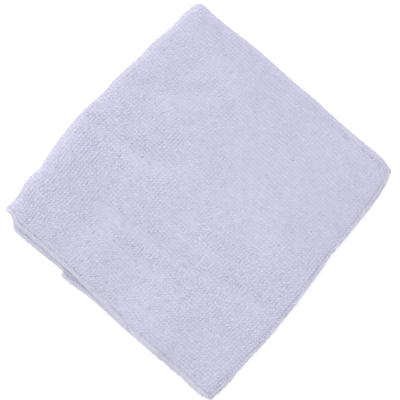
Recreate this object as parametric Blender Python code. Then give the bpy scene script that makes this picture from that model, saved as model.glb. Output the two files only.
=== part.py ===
"""A square of looped microfiber terry, folded in quarters and lying flat.

The cloth is one closed sheet. It is drawn flat, with u and v along its sides and n through its
thickness, and is then turned over its first fold, turned over its second fold, fitted to the
outline in which it lies, and pressed into its soft troughs and swells.

Lengths below are millimetres. Seen from above, +X points from the left corner to the top corner
and +Y from the free corner to the left corner. The first fold lies along +X, the second along +Y.
The four hems of the first direction lie at -X, those of the second at -Y.
"""

import math
from typing import NamedTuple

import bmesh
import bpy

METRES = 0.001

CUT = 300.0
SHEET = 2.0
LAYER_GAP = 0.55
FIRST_FOLD_GAP = 1.1
SECOND_FOLD_GAP = 1.0
GAP_REACH = 9.0
HEM_ROUND = 0.9
HEM_STRETCH = 13.0
HEM_CELLS = 3
RUN_CELLS = 18
BEND_CELLS = 8
HEM_STEP_LINES = (102.1, 104.7)
LINE_CLEARANCE = 3.4

HALF_CUT = CUT / 2
HALF_SIDE = HALF_CUT / 2
FIRST_RADIUS = SHEET + FIRST_FOLD_GAP / 2
SECOND_RADIUS = 2 * SHEET + LAYER_GAP + SECOND_FOLD_GAP / 2
STACK = 4 * SHEET + 3 * LAYER_GAP

CLOTH_COLOUR = (0.604, 0.597, 0.745, 1.0)
CLOTH_ROUGHNESS = 0.95


class Place(NamedTuple):
    """A point on the surface that the cloth lies on."""

    x: float
    y: float


class Bow(NamedTuple):
    """How far an edge stands outside the straight line between two corners."""

    along: float
    out: float


class Swell(NamedTuple):
    """A soft trough or ridge of the top layer: its route, half its width and its lift.

    Over the length of the taper, the lift fades to nothing at both ends of the route.
    """

    route: tuple[tuple[float, float], ...]
    half_width: float
    lift: float
    taper: float = 0.0


class Droop(NamedTuple):
    """How far the stack sinks at an edge and how far in from the edge that reaches."""

    depth: float
    reach: float


class Stations(NamedTuple):
    """Grid lines of the flat cloth in one direction and the stretch that its fold takes up."""

    lines: list[float]
    bend_start: float
    bend_end: float


FREE_CORNER = Place(-69.4, -77.3)
RIGHT_CORNER = Place(82.6, -60.6)
TOP_CORNER = Place(74.9, 73.4)
LEFT_CORNER = Place(-74.8, 68.0)

FRONT_BOW = (
    Bow(0.0, 0.0),
    Bow(12.0, 1.9),
    Bow(22.0, 2.9),
    Bow(32.0, 3.4),
    Bow(37.0, 4.1),
    Bow(65.0, 4.6),
    Bow(87.0, 3.7),
    Bow(99.0, 2.7),
    Bow(107.0, 3.5),
    Bow(127.0, 3.4),
    Bow(140.0, 2.3),
    Bow(152.9, 0.0),
)
FIRST_FOLD_BOW = (
    Bow(0.0, 0.0),
    Bow(7.0, 1.3),
    Bow(20.0, 1.1),
    Bow(42.0, 0.8),
    Bow(52.0, 1.3),
    Bow(72.0, 0.9),
    Bow(92.0, 1.1),
    Bow(118.0, -0.2),
    Bow(134.2, 0.0),
)
SECOND_FOLD_BOW = (
    Bow(0.0, 0.0),
    Bow(8.0, -0.3),
    Bow(18.0, 2.0),
    Bow(27.0, 1.4),
    Bow(34.0, 2.7),
    Bow(46.0, 4.5),
    Bow(62.0, 5.8),
    Bow(80.0, 4.6),
    Bow(89.0, 5.0),
    Bow(108.0, 3.6),
    Bow(116.0, 3.8),
    Bow(130.0, 2.2),
    Bow(140.0, 1.9),
    Bow(149.8, 0.0),
)
LEFT_BOW = (
    Bow(0.0, 0.0),
    Bow(5.0, 0.8),
    Bow(20.0, 0.9),
    Bow(40.0, 1.9),
    Bow(50.0, 2.2),
    Bow(60.0, 2.1),
    Bow(80.0, 1.4),
    Bow(97.0, 0.7),
    Bow(110.0, 1.1),
    Bow(125.0, 1.8),
    Bow(134.5, 2.2),
    Bow(139.0, 0.2),
    Bow(145.4, 0.0),
)

LEFT_PEEKS = {
    "bottom": (
        Bow(90.0, 0.0),
        Bow(101.0, 1.2),
        Bow(115.0, 1.7),
        Bow(134.0, 1.5),
        Bow(139.0, 0.2),
        Bow(145.0, 0.0),
    ),
    "lower_inner": (
        Bow(90.0, 0.5),
        Bow(101.0, 1.9),
        Bow(115.0, 2.5),
        Bow(134.0, 2.3),
        Bow(139.0, 0.4),
        Bow(145.0, -0.6),
    ),
    "upper_inner": (
        Bow(40.0, 0.0),
        Bow(60.0, 0.9),
        Bow(80.0, 2.0),
        Bow(99.0, 4.6),
        Bow(101.5, 1.8),
        Bow(115.0, 2.2),
        Bow(134.0, 1.9),
        Bow(139.0, 0.3),
        Bow(145.0, -0.6),
    ),
    "top": (Bow(0.0, 0.0), Bow(145.0, 0.0)),
}
FRONT_PEEKS = {
    "bottom": (Bow(0.0, 0.6), Bow(20.0, 0.0), Bow(110.0, -1.0), Bow(151.0, 0.0)),
    "lower_inner": (
        Bow(0.0, -0.6),
        Bow(110.0, -0.4),
        Bow(130.0, 0.6),
        Bow(147.0, 1.2),
        Bow(151.0, 0.6),
    ),
    "upper_inner": (
        Bow(0.0, 1.0),
        Bow(12.0, 0.9),
        Bow(30.0, -0.8),
        Bow(120.0, -0.8),
        Bow(151.0, 0.6),
    ),
    "top": (Bow(0.0, 0.0), Bow(151.0, 0.0)),
}
PEEK_REACH = 26.0

SWELLS = (
    Swell(((-70.0, 59.0), (-46.0, 61.0), (-26.0, 62.0)), 11.0, 3.0),
    Swell(((-64.0, 30.0), (-48.0, 28.0), (-36.0, 32.0)), 10.0, -2.0),
    Swell(((-60.0, 2.0), (-46.0, -4.0)), 13.0, -2.0),
    Swell(((-66.0, -37.0), (-50.0, -38.0), (-34.0, -42.0)), 12.0, 1.8),
    Swell(((-18.0, 88.0), (-11.0, 58.0), (-9.0, 44.0), (-3.0, 29.0), (7.0, 13.0)), 4.4, -1.7, 20.0),
    Swell(((12.0, 40.0), (14.0, 30.0)), 5.0, 1.0),
    Swell(((12.0, 78.0), (20.0, 60.0), (29.0, 48.0), (42.0, 36.0), (52.0, 26.0)), 4.4, -1.1, 14.0),
    Swell(((34.0, 50.0), (66.0, 46.0)), 5.0, -0.5, 8.0),
    Swell((
        (-46.0, 52.0), (-39.0, 28.0), (-34.0, 4.0), (-31.0, -14.0),
        (-29.0, -28.0), (-21.0, -50.0), (-16.0, -80.0),
    ), 4.4, -1.5, 30.0),
    Swell(((-48.0, 20.0), (-44.0, -22.0)), 4.4, -1.1, 14.0),
    Swell(((-21.0, 14.0), (-19.0, -30.0)), 4.4, -0.8, 14.0),
    Swell(((-8.0, -24.0), (4.0, -48.0)), 15.0, 1.7),
    Swell(((24.0, -42.0), (46.0, -40.0), (66.0, -46.0)), 10.0, 0.9),
    Swell(((26.0, -10.0), (40.0, -8.0)), 12.0, -0.9),
    Swell(((73.0, 2.0), (75.0, -42.0), (76.5, -68.0)), 3.5, -1.1, 24.0),
    Swell(((4.0, 44.0), (12.0, 46.0)), 6.0, 0.8),
    Swell(((-16.0, 52.0), (-14.0, 44.0)), 6.0, 0.6),
    Swell(((52.0, 54.0), (66.0, 54.0)), 6.0, 0.5),
    Swell(((-20.0, 65.0), (10.0, 63.0)), 8.0, 0.6),
    Swell(((28.0, 65.0), (52.0, 65.0)), 8.0, 0.4),
)
LEFT_DROOP = Droop(3.4, 8.0)
FRONT_DROOP = Droop(1.3, 7.0)
FOLD_DROOP = Droop(1.3, 8.0)


def curve_through(rows: tuple[Bow, ...], along: float) -> float:
    """Read a smooth curve through a table's rows; it is level beyond its ends."""
    if along <= rows[0].along:
        return rows[0].out
    if along >= rows[-1].along:
        return rows[-1].out
    last = max(i for i, row in enumerate(rows) if row.along <= along)
    near, far = rows[last], rows[last + 1]
    before = rows[max(last - 1, 0)]
    after = rows[min(last + 2, len(rows) - 1)]
    span = far.along - near.along
    t = (along - near.along) / span
    slope_near = (far.out - before.out) / (far.along - before.along) * span
    slope_far = (after.out - near.out) / (after.along - near.along) * span
    return (
        near.out * (2 * t**3 - 3 * t**2 + 1)
        + slope_near * (t**3 - 2 * t**2 + t)
        + far.out * (3 * t**2 - 2 * t**3)
        + slope_far * (t**3 - t**2)
    )


def ease(t: float) -> float:
    """Rise smoothly from 0 to 1 while t goes from 0 to 1."""
    t = min(max(t, 0.0), 1.0)
    return t * t * (3 - 2 * t)


def cell_lines(start: float, end: float, cells: int) -> list[float]:
    """Divide a stretch evenly, without its last line."""
    return [start + (end - start) * i / cells for i in range(cells)]


def flat_stations(radius: float, steps: tuple[float, ...] = ()) -> Stations:
    """Grid lines across the flat cloth: a run, the bend of one fold and the run that comes back.

    They lie closer together near the hems. A line also passes through each of the steps, in both
    runs.
    """
    bend_start = HALF_CUT - radius
    bend_end = HALF_CUT + radius
    lines = cell_lines(HEM_ROUND, HEM_STRETCH, HEM_CELLS)
    lines += cell_lines(HEM_STRETCH, bend_start, RUN_CELLS)
    lines += cell_lines(bend_start, bend_end, BEND_CELLS)
    lines += cell_lines(bend_end, CUT - HEM_STRETCH, RUN_CELLS)
    lines += cell_lines(CUT - HEM_STRETCH, CUT - HEM_ROUND, HEM_CELLS)
    lines.append(CUT - HEM_ROUND)
    steps = steps + tuple(CUT - step for step in steps)
    clear = [line for line in lines if all(abs(line - step) > LINE_CLEARANCE for step in steps)]
    return Stations(sorted(clear + list(steps)), bend_start, bend_end)


def gap_at(distance: float, fold_gap: float) -> float:
    """Space between two layers, which widens towards the fold that joins them."""
    return LAYER_GAP + (fold_gap - LAYER_GAP) * math.exp(-((max(distance, 0.0) / GAP_REACH) ** 2))


def turn_over(flat: float, depth: float, stations: Stations, radius: float, half_height: float):
    """Fold one direction of the cloth over itself.

    flat is the place along the cloth and depth its height above the outer face. The result is the
    place across the folded cloth and the height, with half_height as the middle of the gap.
    """
    centre = HALF_SIDE - radius
    if flat <= stations.bend_start:
        return centre - (stations.bend_start - flat), depth
    if flat >= stations.bend_end:
        return centre - (flat - stations.bend_end), 2 * half_height - depth
    turn = math.pi * (flat - stations.bend_start) / (stations.bend_end - stations.bend_start)
    reach = half_height - depth
    return centre + reach * math.sin(turn), half_height - reach * math.cos(turn)


def fold_in_quarters(u: float, v: float, n: float, across: Stations, down: Stations):
    """Place a point of the flat cloth in the neat square that the two folds make."""
    from_fold = max(across.bend_start - u, u - across.bend_end, 0.0)
    first_half = SHEET + gap_at(from_fold, FIRST_FOLD_GAP) / 2
    x, lift = turn_over(u, n, across, FIRST_RADIUS, first_half)
    from_fold = max(down.bend_start - v, v - down.bend_end, 0.0)
    second_half = 2 * first_half + gap_at(from_fold, SECOND_FOLD_GAP) / 2
    y, z = turn_over(v, lift, down, SECOND_RADIUS, second_half)
    return x, y, z


def share_past(flat: float, stations: Stations) -> float:
    """How far a point has gone round a fold, from 0 before it to 1 after it."""
    return ease((flat - stations.bend_start) / (stations.bend_end - stations.bend_start))


def hem_peek(table: dict, along: float, over_first: float, over_second: float) -> float:
    """How far the hem at this place stands out past the top layer's hem."""
    outer = curve_through(table["bottom"], along) * (1 - over_second)
    outer += curve_through(table["top"], along) * over_second
    inner = curve_through(table["lower_inner"], along) * (1 - over_second)
    inner += curve_through(table["upper_inner"], along) * over_second
    return outer * (1 - over_first) + inner * over_first


def side_length(start: Place, end: Place) -> float:
    """Straight distance between two corners."""
    return math.hypot(end.x - start.x, end.y - start.y)


def outward(start: Place, end: Place) -> Place:
    """Unit direction at right angles to a side, to the right of its way."""
    length = side_length(start, end)
    return Place((end.y - start.y) / length, -(end.x - start.x) / length)


def fit_outline(x: float, y: float) -> Place:
    """Stretch the neat square to the four bowed sides between the corners."""
    a = (x + HALF_SIDE) / (2 * HALF_SIDE)
    b = (y + HALF_SIDE) / (2 * HALF_SIDE)
    corners = (
        (FREE_CORNER, (1 - a) * (1 - b)),
        (RIGHT_CORNER, a * (1 - b)),
        (TOP_CORNER, a * b),
        (LEFT_CORNER, (1 - a) * b),
    )
    placed_x = sum(corner.x * share for corner, share in corners)
    placed_y = sum(corner.y * share for corner, share in corners)
    sides = (
        (FRONT_BOW, FREE_CORNER, RIGHT_CORNER, a, 1 - b, 1),
        (SECOND_FOLD_BOW, LEFT_CORNER, TOP_CORNER, a, b, -1),
        (LEFT_BOW, FREE_CORNER, LEFT_CORNER, b, 1 - a, -1),
        (FIRST_FOLD_BOW, RIGHT_CORNER, TOP_CORNER, b, a, 1),
    )
    for bow, start, end, way, share, side in sides:
        out = curve_through(bow, way * side_length(start, end)) * share * side
        direction = outward(start, end)
        placed_x += direction.x * out
        placed_y += direction.y * out
    return Place(placed_x, placed_y)


def swell_height(place: Place, swell: Swell) -> float:
    """Height that one trough or ridge adds to the top layer at a place."""
    nearest = math.inf
    along = 0.0
    passed = 0.0
    points = [Place(*point) for point in swell.route]
    for start, end in zip(points, points[1:]):
        length = side_length(start, end)
        t = ((place.x - start.x) * (end.x - start.x) + (place.y - start.y) * (end.y - start.y)) / length**2
        t = min(max(t, 0.0), 1.0)
        near = Place(start.x + (end.x - start.x) * t, start.y + (end.y - start.y) * t)
        apart = side_length(place, near)
        if apart < nearest:
            nearest = apart
            along = passed + t * length
        passed += length
    height = swell.lift * math.exp(-((nearest / swell.half_width) ** 2))
    if swell.taper:
        height *= ease(along / swell.taper) * ease((passed - along) / swell.taper)
    return height


def droop_at(distance: float, droop: Droop) -> float:
    """How far the stack sinks at a distance from an edge."""
    return droop.depth * math.exp(-max(distance, 0.0) / droop.reach)


def top_lift(place: Place, x: float, y: float) -> float:
    """How far the top layer stands above its even height, at a place that was x and y in the square."""
    left = droop_at(x + HALF_SIDE, LEFT_DROOP)
    front = droop_at(y + HALF_SIDE, FRONT_DROOP)
    hems = (left**3 + front**3) ** (1 / 3)
    return sum(swell_height(place, swell) for swell in SWELLS) - hems - droop_at(HALF_SIDE - y, FOLD_DROOP)


def cloth_point(u: float, v: float, n: float, across: Stations, down: Stations):
    """Place a point of the flat cloth where it lies in the finished stack."""
    x, y, z = fold_in_quarters(u, v, n, across, down)
    over_first = share_past(u, across)
    over_second = share_past(v, down)
    left_length = side_length(FREE_CORNER, LEFT_CORNER)
    front_length = side_length(FREE_CORNER, RIGHT_CORNER)
    along_left = (y + HALF_SIDE) / (2 * HALF_SIDE) * left_length
    along_front = (x + HALF_SIDE) / (2 * HALF_SIDE) * front_length
    near_left = 1 - ease((x + HALF_SIDE) / PEEK_REACH)
    near_front = 1 - ease((y + HALF_SIDE) / PEEK_REACH)
    x -= hem_peek(LEFT_PEEKS, along_left, over_first, over_second) * near_left
    y -= hem_peek(FRONT_PEEKS, along_front, over_first, over_second) * near_front
    place = fit_outline(x, y)
    return place.x, place.y, z * (1 + top_lift(place, x, y) / STACK)


def rim_loop(last_i: int, last_j: int) -> list[tuple[int, int]]:
    """Grid places round the cloth's edge, anticlockwise from its first corner."""
    loop = [(i, 0) for i in range(last_i)]
    loop += [(last_i, j) for j in range(last_j)]
    loop += [(i, last_j) for i in range(last_i, 0, -1)]
    loop += [(0, j) for j in range(last_j, 0, -1)]
    return loop


def build_cloth() -> bpy.types.Object:
    """Model the folded cloth as one closed sheet, resting at z = 0 and centred over the origin."""
    across = flat_stations(FIRST_RADIUS)
    down = flat_stations(SECOND_RADIUS, HEM_STEP_LINES)
    last_i = len(across.lines) - 1
    last_j = len(down.lines) - 1
    edge = rim_loop(last_i, last_j)
    grid = {}
    for i, u in enumerate(across.lines):
        for j, v in enumerate(down.lines):
            for face, n in enumerate((0.0, SHEET)):
                grid[face, i, j] = cloth_point(u, v, n, across, down)
    rim = {}
    for i, j in edge:
        u = {0: 0.0, last_i: CUT}.get(i, across.lines[i])
        v = {0: 0.0, last_j: CUT}.get(j, down.lines[j])
        rim[i, j] = cloth_point(u, v, SHEET / 2, across, down)

    points = list(grid.values()) + list(rim.values())
    centre_x = (min(p[0] for p in points) + max(p[0] for p in points)) / 2
    centre_y = (min(p[1] for p in points) + max(p[1] for p in points)) / 2

    mesh = bmesh.new()

    def add_point(point):
        """Add one vertex, in metres and centred."""
        x, y, z = point
        return mesh.verts.new(((x - centre_x) * METRES, (y - centre_y) * METRES, z * METRES))

    grid_verts = {key: add_point(point) for key, point in grid.items()}
    rim_verts = {key: add_point(point) for key, point in rim.items()}
    for i in range(last_i):
        for j in range(last_j):
            turned = (across.lines[i] >= HALF_CUT) != (down.lines[j] >= HALF_CUT)
            for face in (0, 1):
                a, b = grid_verts[face, i, j], grid_verts[face, i + 1, j]
                c, d = grid_verts[face, i + 1, j + 1], grid_verts[face, i, j + 1]
                for corners in ((a, b, d), (b, c, d)) if turned else ((a, b, c), (a, c, d)):
                    mesh.faces.new(corners if face else corners[::-1])
    for place, following in zip(edge, edge[1:] + edge[:1]):
        low, low_next = grid_verts[0, *place], grid_verts[0, *following]
        mid, mid_next = rim_verts[place], rim_verts[following]
        high, high_next = grid_verts[1, *place], grid_verts[1, *following]
        mesh.faces.new((low, low_next, mid_next, mid))
        mesh.faces.new((mid, mid_next, high_next, high))
    bmesh.ops.triangulate(mesh, faces=[face for face in mesh.faces if len(face.verts) > 3])

    data = bpy.data.meshes.new("cloth")
    mesh.to_mesh(data)
    mesh.free()
    data.shade_smooth()
    cloth = bpy.data.objects.new("cloth", data)
    bpy.context.collection.objects.link(cloth)
    return cloth


def terry_material() -> bpy.types.Material:
    """Pale lavender terry with a dry, matt pile."""
    material = bpy.data.materials.new("lavender_terry")
    material.use_nodes = True
    shader = material.node_tree.nodes["Principled BSDF"]
    shader.inputs["Base Color"].default_value = CLOTH_COLOUR
    shader.inputs["Roughness"].default_value = CLOTH_ROUGHNESS
    shader.inputs["Metallic"].default_value = 0.0
    return material


def main() -> None:
    """Clear the scene and build the cloth."""
    for old in list(bpy.data.objects):
        bpy.data.objects.remove(old, do_unlink=True)
    cloth = build_cloth()
    cloth.data.materials.append(terry_material())


main()
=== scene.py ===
"""The looks of a square of looped microfibre terry, folded in quarters and lying flat.

The cloth is drawn flat, with u and v along its sides and n through its thickness. Its knitted
ground, every loop of its pile and every stitch of its overlocked hem are laid out there first.
One fold plan then turns all of them over the first fold, over the second fold, fits them to the
outline in which the cloth lies, and presses them into its soft troughs and swells.

Lengths are millimetres until the fold plan turns them into metres. Seen from above, +X points
from the left corner to the top corner and +Y from the free corner to the left corner.
"""

import logging
import math
from dataclasses import dataclass, field
from enum import Enum
from typing import NamedTuple

import bpy
import numpy as np
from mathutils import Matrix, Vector


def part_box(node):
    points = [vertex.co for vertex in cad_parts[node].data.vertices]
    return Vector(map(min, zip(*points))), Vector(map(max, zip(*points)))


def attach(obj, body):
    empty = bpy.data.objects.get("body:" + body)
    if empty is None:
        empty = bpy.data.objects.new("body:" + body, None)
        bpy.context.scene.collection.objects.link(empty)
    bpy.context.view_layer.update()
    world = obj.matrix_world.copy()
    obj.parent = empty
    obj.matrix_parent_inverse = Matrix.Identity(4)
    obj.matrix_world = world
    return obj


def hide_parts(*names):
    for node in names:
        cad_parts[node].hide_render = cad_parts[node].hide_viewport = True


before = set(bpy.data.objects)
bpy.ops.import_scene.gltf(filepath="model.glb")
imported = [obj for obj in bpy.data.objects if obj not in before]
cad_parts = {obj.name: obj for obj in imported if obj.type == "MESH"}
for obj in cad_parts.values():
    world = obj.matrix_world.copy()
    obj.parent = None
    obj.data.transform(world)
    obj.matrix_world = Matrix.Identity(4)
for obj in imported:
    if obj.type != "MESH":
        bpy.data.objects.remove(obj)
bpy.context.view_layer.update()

METRES = 0.001
CAD_NODE = "cloth"
BODY = "root"
BAKE_MAP = "OFBake"
BAKE_MARGIN = 0.01
FLAT_MAP = "flat_cloth"
PROBE_LINES = 401
CUT_TOLERANCE = 0.01
FOOT_TOLERANCE = 0.1
DOWNWARD = -0.9
COLOUR = "NodeSocketColor"
NUMBER = "NodeSocketFloat"
VECTOR = "NodeSocketVector"

Place = tuple[float, float]
Way = tuple[float, float, float]
Colour = tuple[float, float, float, float]
Inputs = dict[str | int, object]

log = logging.getLogger("folded_cloth")


class Face(Enum):
    """The two faces of the cloth: the one that the folds leave outside, and the one inside them."""

    OUTER = "outer"
    INNER = "inner"


class HemSide(Enum):
    """The four cut edges of the flat cloth, named by where the edge lies."""

    LEFT = "left"
    FRONT = "front"
    LEFT_TURNED = "left_turned"
    FRONT_TURNED = "front_turned"


def ease(t: np.ndarray) -> np.ndarray:
    """Rise smoothly from 0 to 1 while t goes from 0 to 1, and hold the ends beyond."""
    t = np.clip(t, 0.0, 1.0)
    return t * t * (3 - 2 * t)


@dataclass(frozen=True)
class EdgeCurve:
    """A smooth curve through rows of (place along an edge, distance outward)."""

    rows: tuple[Place, ...]

    def read(self, along: np.ndarray) -> np.ndarray:
        """Read the curve; it is level beyond its ends.

        Args:
            along: Places along the edge, in millimetres.

        Returns:
            The outward distance at each place, in millimetres.
        """
        table = np.array(self.rows)
        places, outs = table[:, 0], table[:, 1]
        along = np.clip(along, places[0], places[-1])
        last = np.clip(np.searchsorted(places, along, side="right") - 1, 0, len(places) - 2)
        before = np.maximum(last - 1, 0)
        after = np.minimum(last + 2, len(places) - 1)
        span = places[last + 1] - places[last]
        t = (along - places[last]) / span
        slope_near = (outs[last + 1] - outs[before]) / (places[last + 1] - places[before]) * span
        slope_far = (outs[after] - outs[last]) / (places[after] - places[last]) * span
        return (
            outs[last] * (2 * t**3 - 3 * t**2 + 1)
            + slope_near * (t**3 - 2 * t**2 + t)
            + outs[last + 1] * (3 * t**2 - 2 * t**3)
            + slope_far * (t**3 - t**2)
        )


@dataclass(frozen=True)
class Outline:
    """The four corners of the folded cloth and the bows of the sides between them."""

    free: Place = (-69.4, -77.3)
    right: Place = (82.6, -60.6)
    top: Place = (74.9, 73.4)
    left: Place = (-74.8, 68.0)
    front_bow: EdgeCurve = EdgeCurve((
        (0.0, 0.0), (12.0, 1.9), (22.0, 2.9), (32.0, 3.4), (37.0, 4.1), (65.0, 4.6),
        (87.0, 3.7), (99.0, 2.7), (107.0, 3.5), (127.0, 3.4), (140.0, 2.3), (152.9, 0.0),
    ))
    first_fold_bow: EdgeCurve = EdgeCurve((
        (0.0, 0.0), (7.0, 1.3), (20.0, 1.1), (42.0, 0.8), (52.0, 1.3), (72.0, 0.9),
        (92.0, 1.1), (118.0, -0.2), (134.2, 0.0),
    ))
    second_fold_bow: EdgeCurve = EdgeCurve((
        (0.0, 0.0), (8.0, -0.3), (18.0, 2.0), (27.0, 1.4), (34.0, 2.7), (46.0, 4.5), (62.0, 5.8),
        (80.0, 4.6), (89.0, 5.0), (108.0, 3.6), (116.0, 3.8), (130.0, 2.2), (140.0, 1.9), (149.8, 0.0),
    ))
    left_bow: EdgeCurve = EdgeCurve((
        (0.0, 0.0), (5.0, 0.8), (20.0, 0.9), (40.0, 1.9), (50.0, 2.2), (60.0, 2.1), (80.0, 1.4),
        (97.0, 0.7), (110.0, 1.1), (125.0, 1.8), (134.5, 2.2), (139.0, 0.2), (145.4, 0.0),
    ))

    def left_length(self) -> float:
        """Straight length of the side between the free corner and the left corner."""
        return math.dist(self.free, self.left)

    def front_length(self) -> float:
        """Straight length of the side between the free corner and the right corner."""
        return math.dist(self.free, self.right)

    def fit(self, a: np.ndarray, b: np.ndarray) -> tuple[np.ndarray, np.ndarray]:
        """Stretch the neat square to the four bowed sides.

        Args:
            a: Share of the way along +X, from 0 to 1.
            b: Share of the way along +Y, from 0 to 1.

        Returns:
            The x and y of each point, in millimetres.
        """
        corners = (
            (self.free, (1 - a) * (1 - b)),
            (self.right, a * (1 - b)),
            (self.top, a * b),
            (self.left, (1 - a) * b),
        )
        x = sum(corner[0] * share for corner, share in corners)
        y = sum(corner[1] * share for corner, share in corners)
        sides = (
            (self.front_bow, self.free, self.right, a, 1 - b, 1),
            (self.second_fold_bow, self.left, self.top, a, b, -1),
            (self.left_bow, self.free, self.left, b, 1 - a, -1),
            (self.first_fold_bow, self.right, self.top, b, a, 1),
        )
        for bow, start, end, way, share, side in sides:
            length = math.dist(start, end)
            out = bow.read(way * length) * share * side
            x = x + (end[1] - start[1]) / length * out
            y = y - (end[0] - start[0]) / length * out
        return x, y


@dataclass(frozen=True)
class HemPeeks:
    """How far each layer's hem stands out past the top layer's hem, along one open side."""

    bottom: EdgeCurve
    lower_inner: EdgeCurve
    upper_inner: EdgeCurve

    def read(self, along: np.ndarray, over_first: np.ndarray, over_second: np.ndarray) -> np.ndarray:
        """Blend the layers' hems through the folds that join them.

        Args:
            along: Places along the open side, in millimetres.
            over_first: How far each point has gone round the first fold, from 0 to 1.
            over_second: How far each point has gone round the second fold, from 0 to 1.

        Returns:
            The outward distance of the hem at each place, in millimetres.
        """
        outer = self.bottom.read(along) * (1 - over_second)
        inner = self.lower_inner.read(along) * (1 - over_second) + self.upper_inner.read(along) * over_second
        return outer * (1 - over_first) + inner * over_first


@dataclass(frozen=True)
class Swell:
    """A soft trough or ridge: its route over the cloth, half its width, its lift and its taper.

    Over the length of the taper, the lift fades to nothing at both ends of the route.
    """

    route: tuple[Place, ...]
    half_width: float
    lift: float
    taper: float = 0.0

    def read(self, x: np.ndarray, y: np.ndarray) -> np.ndarray:
        """Read the height that this swell adds to the top layer.

        Args:
            x: Places along +X, in millimetres.
            y: Places along +Y, in millimetres.

        Returns:
            The height at each place, in millimetres.
        """
        nearest = np.full(x.shape, np.inf)
        place = np.zeros(x.shape)
        passed = 0.0
        for start, end in zip(self.route, self.route[1:]):
            way_x, way_y = end[0] - start[0], end[1] - start[1]
            length = math.hypot(way_x, way_y)
            t = np.clip(((x - start[0]) * way_x + (y - start[1]) * way_y) / length**2, 0.0, 1.0)
            apart = (x - start[0] - way_x * t) ** 2 + (y - start[1] - way_y * t) ** 2
            place = np.where(apart < nearest, passed + t * length, place)
            nearest = np.minimum(nearest, apart)
            passed += length
        height = self.lift * np.exp(-nearest / self.half_width**2)
        if self.taper:
            height = height * ease(place / self.taper) * ease((passed - place) / self.taper)
        return height


class Ripple(NamedTuple):
    """One long wave of the top layer: radians per millimetre along x and y, its start and its height."""

    by_x: float
    by_y: float
    start: float
    height: float


@dataclass(frozen=True)
class Relief:
    """The troughs and swells of the top layer, the droop of its hems and its small unevenness."""

    swells: tuple[Swell, ...] = (
        Swell(((-70.0, 59.0), (-46.0, 61.0), (-26.0, 62.0)), 11.0, 3.0),
        Swell(((-64.0, 30.0), (-48.0, 28.0), (-36.0, 32.0)), 10.0, -2.0),
        Swell(((-60.0, 2.0), (-46.0, -4.0)), 13.0, -2.0),
        Swell(((-66.0, -37.0), (-50.0, -38.0), (-34.0, -42.0)), 12.0, 1.8),
        Swell(((-18.0, 88.0), (-11.0, 58.0), (-9.0, 44.0), (-3.0, 29.0), (7.0, 13.0)), 4.4, -1.7, 20.0),
        Swell(((12.0, 40.0), (14.0, 30.0)), 5.0, 1.0),
        Swell(((12.0, 78.0), (20.0, 60.0), (29.0, 48.0), (42.0, 36.0), (52.0, 26.0)), 4.4, -1.1, 14.0),
        Swell(((34.0, 50.0), (66.0, 46.0)), 5.0, -0.5, 8.0),
        Swell((
            (-46.0, 52.0), (-39.0, 28.0), (-34.0, 4.0), (-31.0, -14.0),
            (-29.0, -28.0), (-21.0, -50.0), (-16.0, -80.0),
        ), 4.4, -1.5, 30.0),
        Swell(((-48.0, 20.0), (-44.0, -22.0)), 4.4, -1.1, 14.0),
        Swell(((-21.0, 14.0), (-19.0, -30.0)), 4.4, -0.8, 14.0),
        Swell(((-8.0, -24.0), (4.0, -48.0)), 15.0, 1.7),
        Swell(((24.0, -42.0), (46.0, -40.0), (66.0, -46.0)), 10.0, 0.9),
        Swell(((26.0, -10.0), (40.0, -8.0)), 12.0, -0.9),
        Swell(((73.0, 2.0), (75.0, -42.0), (76.5, -68.0)), 3.5, -1.1, 24.0),
        Swell(((4.0, 44.0), (12.0, 46.0)), 6.0, 0.8),
        Swell(((-16.0, 52.0), (-14.0, 44.0)), 6.0, 0.6),
        Swell(((52.0, 54.0), (66.0, 54.0)), 6.0, 0.5),
        Swell(((-20.0, 65.0), (10.0, 63.0)), 8.0, 0.6),
        Swell(((28.0, 65.0), (52.0, 65.0)), 8.0, 0.4),
    )
    left_droop: float = 3.4
    left_reach: float = 8.0
    front_droop: float = 1.3
    front_reach: float = 7.0
    fold_droop: float = 1.3
    fold_reach: float = 8.0
    ripples: tuple[Ripple, ...] = (
        Ripple(0.26, 0.15, 0.4, 0.05),
        Ripple(-0.19, 0.24, 1.9, 0.05),
        Ripple(0.48, -0.17, 3.1, 0.03),
        Ripple(0.32, 0.41, 2.3, 0.02),
    )

    def read(
        self,
        x: np.ndarray,
        y: np.ndarray,
        from_left: np.ndarray,
        from_front: np.ndarray,
        from_fold: np.ndarray,
    ) -> np.ndarray:
        """Height of the top layer above its even height.

        Args:
            x: Places along +X, in millimetres.
            y: Places along +Y, in millimetres.
            from_left: Distance from the open left side, in millimetres.
            from_front: Distance from the open front side, in millimetres.
            from_fold: Distance from the outside of the second fold, in millimetres.

        Returns:
            The lift at each place, in millimetres.
        """
        lift = sum(swell.read(x, y) for swell in self.swells)
        left = self.left_droop * np.exp(-from_left / self.left_reach)
        front = self.front_droop * np.exp(-from_front / self.front_reach)
        lift = lift - (left**3 + front**3) ** (1 / 3) - self.fold_droop * np.exp(-from_fold / self.fold_reach)
        for ripple in self.ripples:
            lift = lift + ripple.height * np.sin(ripple.by_x * x + ripple.by_y * y + ripple.start)
        return lift


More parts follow.
